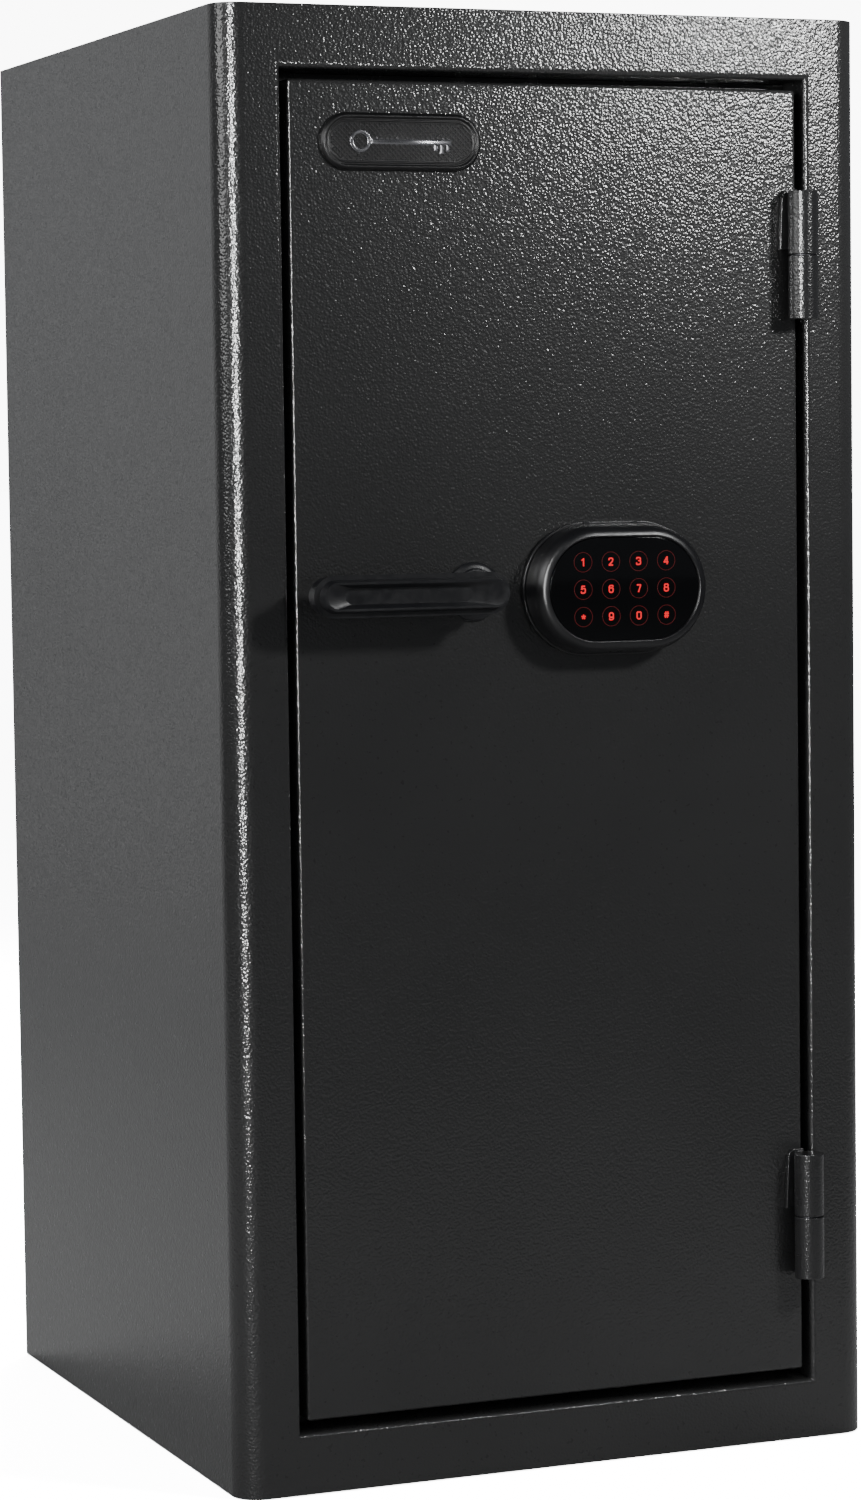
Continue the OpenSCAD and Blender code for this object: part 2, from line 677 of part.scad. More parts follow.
// Crank arm on the spindle's inner end, with the pin that moves the bolts
module spindle_crank() color([0.65, 0.65, 0.66]) in_place() {
    across(crank_y0, crank_y0 + crank_t) translate([-handle_x, handle_z]) difference() {
        union() {
            circle(crank_hub_r);
            rotate(-45) translate([0, -crank_arm_hw]) square([crank_throw, 2 * crank_arm_hw]);
            rotate(-45) translate([crank_throw, 0]) circle(crank_tip_r);
        }
        circle(spindle_r + fit);
    }
    rod_y(crank_y0 + 1, drive_y0 + drive_t + 1.5, pin_offset - handle_x, handle_z - pin_offset, crank_pin_r);
}

module crank_screw() color([0.5, 0.5, 0.5]) in_place() {
    rod_y(22, spindle_end, -handle_x, handle_z, crank_screw_r);
    rod_y(spindle_end, spindle_end + 2.6, -handle_x, handle_z, 4.2);
}

// ---------- Bolt carriage: slides on the door ----------

module bolt_bar() color([0.65, 0.65, 0.66]) in_place() difference() {
    box([bolt_root, bar_y0, bolt_z[2] - 18], [bolt_root + bar_t, bar_y1, bolt_z[0] + 18]);
    for (z = bolt_z) rod_x(bolt_root - past, bolt_root + bar_t + past, bolt_y, z, bolt_screw_r + fit);
}

module locking_bolt(z) color([0.78, 0.78, 0.8]) in_place() difference() {
    union() {
        rod_x(bolt_tip + 1.5, bolt_root, bolt_y, z, bolt_r);
        translate([bolt_tip + 1.5, bolt_y, z]) rotate([0, -90, 0])
            cylinder(h = 1.5, r1 = bolt_r, r2 = bolt_r - 1.5);
    }
    rod_x(bolt_root - 14, bolt_root + past, bolt_y, z, bolt_screw_r + fit);
}

module bolt_screws() color([0.5, 0.5, 0.5]) in_place()
    for (z = bolt_z) {
        rod_x(bolt_root - 12, bolt_root + bar_t, bolt_y, z, bolt_screw_r);
        translate([bolt_root + bar_t, bolt_y, z]) rotate([0, 90, 0]) cylinder(h = 4, r = 5.5, $fn = 6);
    }

// Slotted plate that the crank pin pushes
module drive_plate() color([0.65, 0.65, 0.66]) in_place() {
    slot_hw = crank_pin_r + slot_play;
    across(drive_y0, drive_y0 + drive_t) difference() {
        rect(bolt_root + bar_t, drive_x, handle_z + drive_z[0], handle_z + drive_z[1]);
        rect(pin_offset - handle_x - slot_hw, pin_offset - handle_x + slot_hw, handle_z - slot_foot, handle_z);
    }
}

// Block on the bar that the solenoid's plunger stops
module lock_lug() color([0.65, 0.65, 0.66]) in_place()
    box([bolt_root, lug_y0, lug_z[0]], [bolt_root + 10, bar_y0, lug_z[1]]);

// ---------- Small moving pieces ----------

module solenoid_plunger() color([0.75, 0.75, 0.76]) in_place() {
    rod_z(sol_z0 + 8, plunger_top - 1, sol_x, sol_y, plunger_r);
    translate([sol_x, sol_y, plunger_top - 1]) cylinder(h = 1, r1 = plunger_r, r2 = plunger_r - 1);
}

module battery_lid() color([0.13, 0.13, 0.14]) in_place() {
    box([pack_x[0] + 1, lid_y[0], pack_z[0] + 1], [pack_x[1] - 1, lid_y[1], pack_z[1] - 0.5]);
    for (i = [0:2])
        box([pack_x[0] + 22, lid_y[1], pack_z[0] + 10 + 3 * i],
            [pack_x[1] - 22, lid_y[1] + 0.7, pack_z[0] + 11.4 + 3 * i]);
}

module code_button() color([0.7, 0.08, 0.06]) in_place() {
    rod_y(cover_back - 8, cover_back + 2.2, button_x, handle_z, button_r);
    rod_y(cover_back - 5, cover_back - cover_t - 0.2, button_x, handle_z, button_r + 1.5);
}

// ---------- Nodes ----------

body_wrap();
top_plate();
bottom_plate();
back_panel();
door_stop_frame();
door_seal();
shelf();
shelf_mat();
shelf_brackets();
floor_mat();
door_panel();
door_inner_cover();
cover_screws();
badge_plate();
badge_inlay();
handle_rosette();
spindle_bush();
keypad_gasket();
keypad_housing();
keypad_touch_panel();
keypad_rings();
keypad_board();
keypad_screws();
keypad_lead();
bolt_channel();
fixed_bolt_channel();
solenoid_frame();
solenoid_coil();
solenoid_lead();
control_box();
control_board();
battery_holder();
batteries();
lever_handle();
handle_spindle();
spindle_crank();
crank_screw();
bolt_bar();
bolt_screws();
drive_plate();
lock_lug();
solenoid_plunger();
battery_lid();
code_button();
for (i = [0:1]) {
    hinge_knuckle_fixed(hinge_z[i]);
    hinge_knuckle_door(hinge_z[i]);
    hinge_pin(hinge_z[i]);
    hinge_washer(hinge_z[i]);
}
for (i = [0:2]) {
    fixed_bolt(bolt_z[i]);
    locking_bolt(bolt_z[i]);
}
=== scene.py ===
"""Looks for the gun safe: materials, finished edges and moulded front furniture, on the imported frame.

Metres, in the frame's own axes: +Z up, the door faces -Y. "out" is a distance in front of the body's
front face.
"""

import json
import math

import bmesh
import bpy
from mathutils import Matrix, Vector

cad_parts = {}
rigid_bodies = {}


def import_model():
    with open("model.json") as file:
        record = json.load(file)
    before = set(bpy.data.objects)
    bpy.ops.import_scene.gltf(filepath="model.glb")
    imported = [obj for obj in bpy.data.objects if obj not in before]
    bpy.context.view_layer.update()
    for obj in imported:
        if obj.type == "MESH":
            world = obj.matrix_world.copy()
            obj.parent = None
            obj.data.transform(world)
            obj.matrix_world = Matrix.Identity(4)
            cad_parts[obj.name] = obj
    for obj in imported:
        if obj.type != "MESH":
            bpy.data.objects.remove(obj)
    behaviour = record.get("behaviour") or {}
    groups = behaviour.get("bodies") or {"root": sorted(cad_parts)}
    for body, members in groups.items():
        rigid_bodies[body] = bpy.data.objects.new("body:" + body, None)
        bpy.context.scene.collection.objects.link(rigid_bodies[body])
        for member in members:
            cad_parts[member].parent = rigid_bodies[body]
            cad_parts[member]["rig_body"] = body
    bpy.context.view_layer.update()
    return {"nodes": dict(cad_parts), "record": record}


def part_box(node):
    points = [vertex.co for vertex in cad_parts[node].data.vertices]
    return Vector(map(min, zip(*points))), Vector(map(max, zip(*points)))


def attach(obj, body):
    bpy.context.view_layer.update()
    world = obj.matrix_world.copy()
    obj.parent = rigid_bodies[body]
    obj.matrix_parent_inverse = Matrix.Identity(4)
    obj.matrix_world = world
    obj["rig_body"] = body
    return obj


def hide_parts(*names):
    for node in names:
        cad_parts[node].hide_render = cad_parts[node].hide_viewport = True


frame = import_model()

MM = 0.001
WELD = 1e-6
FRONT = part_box("body_wrap")[0].y
MATERIALS = {}


# ---------------------------------------------------------------- camera, light and stage

def aim(obj, target):
    """Turns an object so that its -Z looks at the target."""
    obj.rotation_euler = (Vector(target) - obj.location).to_track_quat("-Z", "Y").to_euler()


def make_camera():
    """The photo's camera: left of the safe and a little above its middle, looking slightly down."""
    place = Vector((-0.832, FRONT - 1.878, 0.51775))
    yaw, pitch, roll = (math.radians(a) for a in (22.123, -4.179, -0.754))
    lens, sensor_width = 97.92, 36
    ahead = Vector((math.sin(yaw) * math.cos(pitch), math.cos(yaw) * math.cos(pitch), math.sin(pitch)))
    level = Vector((math.cos(yaw), -math.sin(yaw), 0))
    upward = level.cross(ahead)
    right = math.cos(roll) * level + math.sin(roll) * upward
    up = -math.sin(roll) * level + math.cos(roll) * upward
    data = bpy.data.cameras.new("camera")
    data.sensor_width = sensor_width
    data.lens = lens
    camera = bpy.data.objects.new("camera", data)
    bpy.context.scene.collection.objects.link(camera)
    turn = Matrix((right, up, -ahead)).transposed().to_4x4()
    camera.matrix_world = Matrix.Translation(place) @ turn
    bpy.context.scene.camera = camera


def softbox(name, place, target, size, watts, gloss_only=False):
    """An area light. With gloss_only it draws highlights but adds no flat light."""
    data = bpy.data.lights.new(name, "AREA")
    data.shape = "RECTANGLE"
    data.size, data.size_y = size
    data.energy = watts
    light = bpy.data.objects.new(name, data)
    light.location = place
    light.visible_diffuse = not gloss_only
    bpy.context.scene.collection.objects.link(light)
    aim(light, target)


def make_lights():
    softbox("key_light", (0.46, FRONT - 0.65, 0.85), (0.04, FRONT, 0.60), (0.11, 0.11), 3.6)
    softbox("left_light", (-1.5, -0.35, 1.05), (-0.175, 0.0, 0.5), (0.6, 0.9), 8)
    softbox("strip_light", (-0.95, -1.25, 0.66), (-0.05, FRONT, 0.50), (0.06, 0.95), 34.0, True)
    softbox("sweep_light", (-1.3, 1.8, 0.9), (-0.175, 0.0, 0.45), (1.8, 2.0), 3.5)
    softbox("top_light", (0.3, 0.6, 1.9), (0, 0, 0.4), (0.9, 0.9), 9)
    softbox("back_light", (1.1, 1.4, 0.9), (0.1, 0.1, 0.35), (0.9, 0.9), 12)
    softbox("under_light", (0.05, 0.04, -0.55), (0, 0, 0), (0.2, 0.2), 2.5)


def make_world():
    """A faint cool fill that the camera sees as white."""
    fill_color, fill_strength, white_strength = (0.9, 0.94, 1.0, 1), 0.10, 12.0
    world = bpy.data.worlds.new("studio")
    bpy.context.scene.world = world
    world.use_nodes = True
    tree = world.node_tree
    fill = tree.nodes["Background"]
    fill.inputs["Color"].default_value = fill_color
    fill.inputs["Strength"].default_value = fill_strength
    white = tree.nodes.new("ShaderNodeBackground")
    white.inputs["Strength"].default_value = white_strength
    seen = tree.nodes.new("ShaderNodeLightPath")
    mix = tree.nodes.new("ShaderNodeMixShader")
    tree.links.new(seen.outputs["Is Camera Ray"], mix.inputs["Fac"])
    tree.links.new(fill.outputs["Background"], mix.inputs[1])
    tree.links.new(white.outputs["Background"], mix.inputs[2])
    tree.links.new(mix.outputs["Shader"], tree.nodes["World Output"].inputs["Surface"])


def make_floor():
    """Pale paper that photographs almost white, yet lights the safe no more than grey paper would.

    It can be looked through from below, and light passes it, so that the underside can be seen.
    """
    reach, corners, drop = 60.0, 64, 0.5 * MM
    real_grey, shown_grey, shown_glow = 0.55, 22, 8.0
    mesh = bpy.data.meshes.new("floor")
    turns = [math.tau * i / corners for i in range(corners)]
    rim = [(reach * math.cos(a), reach * math.sin(a), 0) for a in turns]
    mesh.from_pydata(rim, [], [tuple(range(corners))])
    floor = bpy.data.objects.new("floor", mesh)
    bpy.context.scene.collection.objects.link(floor)
    paper = bpy.data.materials.new("floor_paper")
    paper.use_nodes = True
    tree = paper.node_tree
    shader = tree.nodes["Principled BSDF"]
    shader.inputs["Base Color"].default_value = (real_grey, real_grey, real_grey, 1)
    shader.inputs["Roughness"].default_value = 0.9
    bright = tree.nodes.new("ShaderNodeBsdfDiffuse")
    bright.inputs["Color"].default_value = (shown_grey, shown_grey, shown_grey, 1)
    glow = tree.nodes.new("ShaderNodeEmission")
    glow.inputs["Strength"].default_value = shown_glow
    shown = tree.nodes.new("ShaderNodeAddShader")
    tree.links.new(bright.outputs["BSDF"], shown.inputs[0])
    tree.links.new(glow.outputs["Emission"], shown.inputs[1])
    seen = tree.nodes.new("ShaderNodeLightPath")
    mix = tree.nodes.new("ShaderNodeMixShader")
    tree.links.new(seen.outputs["Is Camera Ray"], mix.inputs["Fac"])
    tree.links.new(shader.outputs["BSDF"], mix.inputs[1])
    tree.links.new(shown.outputs["Shader"], mix.inputs[2])
    clear = tree.nodes.new("ShaderNodeBsdfTransparent")
    side = tree.nodes.new("ShaderNodeNewGeometry")
    passed = tree.nodes.new("ShaderNodeMath")
    passed.operation = "MAXIMUM"
    tree.links.new(side.outputs["Backfacing"], passed.inputs[0])
    tree.links.new(seen.outputs["Is Shadow Ray"], passed.inputs[1])
    open_mix = tree.nodes.new("ShaderNodeMixShader")
    tree.links.new(passed.outputs["Value"], open_mix.inputs["Fac"])
    tree.links.new(mix.outputs["Shader"], open_mix.inputs[1])
    tree.links.new(clear.outputs["BSDF"], open_mix.inputs[2])
    tree.links.new(open_mix.outputs["Shader"], tree.nodes["Material Output"].inputs["Surface"])
    mesh.materials.append(paper)
    floor.location.z = -drop


# ---------------------------------------------------------------- materials

class Shader:
    """A Principled material with helpers for procedural colour, roughness and bump."""

    def __init__(self, name, color, rough, **sockets):
        self.material = bpy.data.materials.new(name)
        self.material.use_nodes = True
        self.tree = self.material.node_tree
        self.bsdf = self.tree.nodes["Principled BSDF"]
        self.color = color
        self.rough = rough
        self.bsdf.inputs["Base Color"].default_value = (*color, 1)
        self.bsdf.inputs["Roughness"].default_value = rough
        for socket, value in sockets.items():
            self.bsdf.inputs[socket.replace("_", " ")].default_value = value
        self.place = self.add("ShaderNodeTexCoord").outputs["Object"]
        MATERIALS[name] = self.material

    def add(self, kind, **settings):
        node = self.tree.nodes.new(kind)
        for key, value in settings.items():
            setattr(node, key, value)
        return node

    def link(self, source, target):
        self.tree.links.new(source, target)

    def stretch(self, scale):
        """Object coordinates, squeezed along each axis for brushed or drawn surfaces."""
        node = self.add("ShaderNodeMapping")
        node.inputs["Scale"].default_value = scale
        self.link(self.place, node.inputs["Vector"])
        return node.outputs["Vector"]

    def noise(self, scale, detail=2.0, roughness=0.5, distortion=0.0, vector=None):
        node = self.add("ShaderNodeTexNoise")
        self.link(vector or self.place, node.inputs["Vector"])
        node.inputs["Scale"].default_value = scale
        node.inputs["Detail"].default_value = detail
        node.inputs["Roughness"].default_value = roughness
        node.inputs["Distortion"].default_value = distortion
        return node.outputs["Fac"]

    def cells(self, scale, smoothness=0.6):
        node = self.add("ShaderNodeTexVoronoi", feature="SMOOTH_F1")
        self.link(self.place, node.inputs["Vector"])
        node.inputs["Scale"].default_value = scale
        node.inputs["Smoothness"].default_value = smoothness
        return node.outputs["Distance"]

    def remap(self, value, low, high, start=0.3, end=0.7):
        node = self.add("ShaderNodeMapRange")
        self.link(value, node.inputs["Value"])
        for key, number in (("From Min", start), ("From Max", end), ("To Min", low), ("To Max", high)):
            node.inputs[key].default_value = number
        return node.outputs["Result"]

    def math(self, operation, first, second):
        node = self.add("ShaderNodeMath", operation=operation)
        for socket, value in zip(node.inputs, (first, second)):
            if isinstance(value, (int, float)):
                socket.default_value = value
            else:
                self.link(value, socket)
        return node.outputs["Value"]

    def tint(self, value, dark, light):
        """Base colour that runs from dark to light times the plain colour."""
        node = self.add("ShaderNodeMix", data_type="RGBA")
        self.link(value, node.inputs["Factor"])
        node.inputs["A"].default_value = (*(c * dark for c in self.color), 1)
        node.inputs["B"].default_value = (*(c * light for c in self.color), 1)
        self.link(node.outputs["Result"], self.bsdf.inputs["Base Color"])

    def vary_rough(self, value, low, high):
        self.link(self.remap(value, low, high), self.bsdf.inputs["Roughness"])

    def bump(self, height, depth, strength=1.0):
        node = self.add("ShaderNodeBump")
        self.link(height, node.inputs["Height"])
        node.inputs["Distance"].default_value = depth
        node.inputs["Strength"].default_value = strength
        self.link(node.outputs["Normal"], self.bsdf.inputs["Normal"])


def powder_coat(name, color, grain, depth, gloss=0.11, haze=0.30):
    """Hammered powder coat: fine pebbles that glint in a glossy skin, over a broad soft sheen."""
    sheen, smoothness, pebble_share = 0.22, 0.45, -1.2
    s = Shader(name, color, haze, Specular_IOR_Level=sheen, Coat_Weight=1.0, Coat_Roughness=gloss)
    pebbles = s.math("MULTIPLY", s.cells(grain, smoothness), pebble_share)
    ripples = s.noise(grain * 0.75, detail=1.5, distortion=0.3)
    height = s.math("ADD", pebbles, ripples)
    s.tint(s.remap(s.noise(9.0, 3.0), 0, 1), 0.92, 1.08)
    s.vary_rough(s.noise(grain * 0.5, 2.0), haze * 0.9, haze * 1.15)
    s.bump(height, depth)
    s.link(s.bsdf.inputs["Normal"].links[0].from_socket, s.bsdf.inputs["Coat Normal"])


def moulded_plastic(name, color, rough, grain=2600, depth=0.00003, shine=0.5):
    """Moulded plastic with a fine spark-eroded grain."""
    s = Shader(name, color, rough, Specular_IOR_Level=shine)
    s.tint(s.remap(s.noise(30, 3), 0, 1), 0.85, 1.15)
    s.vary_rough(s.noise(160, 4, 0.6), rough * 0.85, rough * 1.2)
    s.bump(s.noise(grain, 2.0), depth)


def plated_steel(name, color, rough, along=(40, 40, 900)):
    """Plated or drawn steel: faint lines along the part and a cloudy plating."""
    s = Shader(name, color, rough, Metallic=1.0)
    lines = s.noise(6, 4, 0.6, 0.0, s.stretch(along))
    s.tint(s.remap(s.noise(22, 4, 0.6), 0, 1), 0.82, 1.08)
    s.vary_rough(lines, rough * 0.7, rough * 1.4)
    s.bump(lines, 0.00002)


def glossy(name, color, rough, **sockets):
    """A smooth, shiny surface with faint smears."""
    s = Shader(name, color, rough, **sockets)
    s.tint(s.remap(s.noise(18, 3), 0, 1), 0.9, 1.1)
    s.vary_rough(s.noise(35, 5, 0.6, 0.6), rough * 0.6, rough * 1.6)


def rubber(name):
    """Matt black rubber."""
    s = Shader(name, (0.012, 0.012, 0.012), 0.6)
    s.tint(s.remap(s.noise(60, 3), 0, 1), 0.8, 1.2)
    s.bump(s.noise(1500, 3), 0.00005)


def felt(name):
    """Needled felt: matted fibres in two sizes."""
    s = Shader(name, (0.045, 0.046, 0.05), 0.95, Sheen_Weight=0.35, Sheen_Roughness=0.5)
    fibres = s.noise(900, 6, 0.75, 1.4)
    clumps = s.noise(160, 3, 0.6, 0.6)
    s.tint(s.remap(fibres, 0, 1), 0.5, 1.7)
    s.bump(s.math("ADD", fibres, clumps), 0.0006)


def circuit_board(name):
    """Green solder mask over copper tracks."""
    s = Shader(name, (0.01, 0.11, 0.035), 0.3, Coat_Weight=0.4)
    tracks = s.add("ShaderNodeTexBrick")
    s.link(s.place, tracks.inputs["Vector"])
    tracks.inputs["Scale"].default_value = 120
    s.tint(tracks.outputs["Fac"], 1.0, 1.9)
    s.bump(tracks.outputs["Fac"], 0.00005)


def coil_wrap(name):
    """Close turns of enamelled wire round a vertical bobbin."""
    s = Shader(name, (0.42, 0.15, 0.045), 0.28, Metallic=0.8)
    turns = s.add("ShaderNodeTexWave", bands_direction="Z")
    s.link(s.place, turns.inputs["Vector"])
    turns.inputs["Scale"].default_value = 320
    turns.inputs["Distortion"].default_value = 0.3
    # The colour darkens into the grooves between turns, where the bump sinks: painted shade.
    s.tint(turns.outputs["Fac"], 0.45, 1.1)
    s.bump(turns.outputs["Fac"], 0.0002)


def cell_wrap(name):
    """Plain battery sleeve: dark below, copper coloured above the shoulder."""
    s = Shader(name, (1, 1, 1), 0.25, Metallic=0.35)
    low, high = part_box("batteries")
    height = s.add("ShaderNodeSeparateXYZ")
    s.link(s.place, height.inputs["Vector"])
    shoulder = low.z + 0.7 * (high.z - low.z)
    band = s.remap(height.outputs["Z"], 0, 1, shoulder, shoulder + 0.0003)
    mix = s.add("ShaderNodeMix", data_type="RGBA")
    s.link(band, mix.inputs["Factor"])
    mix.inputs["A"].default_value = (0.02, 0.02, 0.022, 1)
    mix.inputs["B"].default_value = (0.45, 0.2, 0.07, 1)
    s.link(mix.outputs["Result"], s.bsdf.inputs["Base Color"])
    s.vary_rough(s.noise(120, 3), 0.18, 0.34)


def lit_print(name, glow):
    """Red print lit from behind."""
    ink, lamp = (0.08, 0.004, 0.004), (1.0, 0.01, 0.02, 1)
    s = Shader(name, ink, 0.4, Emission_Color=lamp, Emission_Strength=glow)
    s.vary_rough(s.noise(800, 2), 0.3, 0.5)


def make_materials():
    powder_coat("front_paint", (0.043, 0.043, 0.043), 760, 0.00013)
    powder_coat("side_paint", (0.0225, 0.0222, 0.022), 760, 0.00013, 0.14)
    powder_coat("hinge_paint", (0.028, 0.028, 0.029), 900, 0.00010, 0.2)
    powder_coat("inner_paint", (0.055, 0.055, 0.057), 800, 0.00012, 0.25, 0.5)
    moulded_plastic("lever_plastic", (0.010, 0.0105, 0.013), 0.38, shine=0.45)
    moulded_plastic("keypad_plastic", (0.008, 0.008, 0.010), 0.32, shine=0.6)
    moulded_plastic("box_plastic", (0.02, 0.02, 0.022), 0.5, 1200, 0.0001)
    moulded_plastic("badge_plastic", (0.005, 0.005, 0.0055), 0.36)
    plated_steel("emblem_finish", (0.34, 0.34, 0.355), 0.2)
    glossy("touch_glass", (0.002, 0.002, 0.0025), 0.07, Coat_Weight=0.3)
    glossy("red_plastic", (0.5, 0.02, 0.015), 0.25)
    plated_steel("bright_steel", (0.78, 0.78, 0.8), 0.16, (700, 40, 40))
    plated_steel("zinc_steel", (0.62, 0.62, 0.6), 0.34)
    plated_steel("dark_steel", (0.07, 0.07, 0.075), 0.4)
    plated_steel("brass", (0.75, 0.52, 0.22), 0.25, (60, 600, 60))
    rubber("rubber")
    felt("carpet")
    circuit_board("circuit_board")
    coil_wrap("coil_wrap")
    cell_wrap("cell_wrap")
    glossy("seal_vinyl", (0.006, 0.006, 0.006), 0.22)
    lit_print("ring_print", 0.11)
    lit_print("legend_print", 1.2)


SLOT_FINISH = {
    "painted_steel": "front_paint",
    "inner_paint": "inner_paint",
    "rubber": "rubber",
    "carpet": "carpet",
    "bright_steel": "bright_steel",
    "brass": "brass",
    "dark_steel": "dark_steel",
    "zinc_steel": "zinc_steel",
    "black_plastic": "box_plastic",
    "badge_face": "badge_plastic",
    "gloss_black": "touch_glass",
    "key_marking": "ring_print",
    "circuit_board": "circuit_board",
    "coil_wrap": "coil_wrap",
    "cell_wrap": "cell_wrap",
    "red_plastic": "red_plastic",
}


def paint(obj, finish):
    """Gives an object one finish and no other."""
    obj.data.materials.clear()
    obj.data.materials.append(MATERIALS[finish])


def paint_cad_nodes():
    """Every carried-over CAD node takes the procedural finish of its slot."""
    for part in frame["record"]["subparts"]:
        paint(frame["nodes"][part["node"]], SLOT_FINISH[part["material_slot"]])


# ---------------------------------------------------------------- mesh helpers

def new_piece(name, verts, faces, finish, body, slot, replaces=(), sharp=32):
    """Makes a closed mesh piece, shades it smooth between sharp edges, and puts it on its body."""
    mesh = bpy.data.meshes.new(name)
    mesh.from_pydata(verts, [], faces)
    work = bmesh.new()
    work.from_mesh(mesh)
    bmesh.ops.remove_doubles(work, verts=work.verts, dist=WELD)
    bmesh.ops.dissolve_degenerate(work, edges=work.edges, dist=WELD)
    bmesh.ops.recalc_face_normals(work, faces=work.faces)
    work.to_mesh(mesh)
    work.free()
    obj = bpy.data.objects.new(name, mesh)
    bpy.context.scene.collection.objects.link(obj)
    mesh.shade_smooth()
    mesh.set_sharp_from_angle(angle=math.radians(sharp))
    place_piece(obj, finish, body, replaces)


def place_piece(obj, finish, body, replaces=()):
    paint(obj, finish)
    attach(obj, body)
    if replaces:
        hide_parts(*replaces)


def apply_modifiers(obj):
    """Bakes an object's modifiers into its mesh."""
    bpy.context.view_layer.update()
    graph = bpy.context.evaluated_depsgraph_get()
    mesh = bpy.data.meshes.new_from_object(obj.evaluated_get(graph))
    obj.modifiers.clear()
    obj.data = mesh


def finished_edges(node, width, finish, segments=3, angle=40):
    """Stands for a CAD node with the same shape, its sharp edges rolled to a real edge radius."""
    source = frame["nodes"][node]
    work = bmesh.new()
    work.from_mesh(source.data)
    bmesh.ops.remove_doubles(work, verts=work.verts, dist=2 * WELD)
    flat = math.radians(0.6)
    bmesh.ops.dissolve_limit(work, angle_limit=flat, verts=work.verts, edges=work.edges)
    mesh = bpy.data.meshes.new(node + "_finished")
    work.to_mesh(mesh)
    work.free()
    obj = bpy.data.objects.new(node + "_finished", mesh)
    bpy.context.scene.collection.objects.link(obj)
    bevel = obj.modifiers.new("edge", "BEVEL")
    bevel.width = width
    bevel.segments = segments
    bevel.limit_method = "ANGLE"
    bevel.angle_limit = math.radians(angle)
    bevel.use_clamp_overlap = False
    bevel.miter_outer = "MITER_ARC"
    bevel.harden_normals = True
    even = obj.modifiers.new("even", "WEIGHTED_NORMAL")
    even.keep_sharp = True
    mesh.shade_smooth()
    mesh.set_sharp_from_angle(angle=math.radians(angle))
    apply_modifiers(obj)
    place_piece(obj, finish, source["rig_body"], (node,))


def rounded(points, radii, steps=4):
    """Rounds the inner corners of a line through points of any dimension."""
    most = 0.48
    line = [Vector(points[0])]
    for before, corner, after, radius in zip(points, points[1:], points[2:], radii):
        before, corner, after = Vector(before), Vector(corner), Vector(after)
        back, ahead = before - corner, after - corner
        reach = min(radius, most * back.length, most * ahead.length)
        start = corner + back.normalized() * reach
        end = corner + ahead.normalized() * reach
        for i in range(steps + 1):
            t = i / steps
            line.append((1 - t) ** 2 * start + 2 * t * (1 - t) * corner + t * t * end)
    line.append(Vector(points[-1]))
    return line


def stadium_ring(left, right, radius, out, z, turns):
    """Points round an outline with half-round ends, whose far ends lie at left and right."""
    ring = []
    for side, centre in ((0, right - radius), (1, left + radius)):
        for i in range(turns + 1):
            angle = math.pi * (i / turns - 0.5 + side)
            ring.append((centre + radius * math.cos(angle), FRONT - out, z + radius * math.sin(angle)))
    return ring


def stadium_rings(profile, centre, run, turns):
    """A profile of (end radius, out) carried round a stadium with half-length run between its ends."""
    return [
        stadium_ring(centre.x - run - r, centre.x + run + r, r, out, centre.z, turns)
        for r, out in profile
    ]


def loft(rings, closed=False):
    """Joins rings that have equal numbers of points into one skin."""
    count = len(rings[0])
    verts = [point for ring in rings for point in ring]
    faces = []
    pairs = len(rings) if closed else len(rings) - 1
    for k in range(pairs):
        base, top = k * count, (k + 1) % len(rings) * count
        for i in range(count):
            j = (i + 1) % count
            faces.append((base + i, base + j, top + j, top + i))
    return verts, faces


def turned(profile, centre, turns=64):
    """A profile of (radius, out) carried round the Y axis through centre."""
    angles = [math.tau * i / turns for i in range(turns)]
    return loft([
        [(centre.x + r * math.cos(a), FRONT - out, centre.z + r * math.sin(a)) for a in angles]
        for r, out in profile
    ])


def bar(start, end, half_width, low, high):
    """A ridge between two points on the front: a flat base at low, a narrower crest at high."""
    (x0, z0), (x1, z1) = start, end
    crest_share = 0.35
    along = Vector((x1 - x0, z1 - z0)).normalized()
    side = Vector((-along.y, along.x))
    verts = []
    for out, half, shorten in ((low, half_width, 0), (high, half_width * crest_share, half_width)):
        for x, z, s in ((x0, z0, 1), (x1, z1, -1)):
            x, z = x + along.x * shorten * s, z + along.y * shorten * s
            for k in (-1, 1):
                verts.append((x + side.x * half * k, FRONT - out, z + side.y * half * k))
    faces = [(0, 1, 3, 2), (4, 6, 7, 5), (0, 2, 6, 4), (1, 5, 7, 3), (0, 4, 5, 1), (2, 3, 7, 6)]
    return verts, faces


def gather(pieces):
    """Joins several (verts, faces) lists into one."""
    verts, faces = [], []
    for more_verts, more_faces in pieces:
        start = len(verts)
        verts += more_verts
        faces += [tuple(i + start for i in face) for face in more_faces]
    return verts, faces


def middle(node):
    """The centre of a CAD node's box."""
    low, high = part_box(node)
    return (low + high) / 2


# ---------------------------------------------------------------- painted steel

def make_painted_steel():
    for node, width, finish in (
        ("body_wrap", 0.5 * MM, "front_paint"),
        ("door_panel", 0.45 * MM, "front_paint"),
        ("top_plate", 0.4 * MM, "side_paint"),
        ("bottom_plate", 0.4 * MM, "side_paint"),
        ("back_panel", 0.4 * MM, "side_paint"),
        ("hinge_knuckle_fixed_upper", 0.5 * MM, "hinge_paint"),
        ("hinge_knuckle_fixed_lower", 0.5 * MM, "hinge_paint"),
        ("hinge_knuckle_door_upper", 0.5 * MM, "hinge_paint"),
        ("hinge_knuckle_door_lower", 0.5 * MM, "hinge_paint"),
    ):
        finished_edges(node, width, finish)
    for node, width in (("door_inner_cover", 0.6 * MM), ("shelf", 0.4 * MM)):
        finished_edges(node, width, "inner_paint")
    finished_edges("door_seal", 0.55 * MM, "seal_vinyl", 4)


# ---------------------------------------------------------------- lever handle

LEVER_BACK = 15 * MM


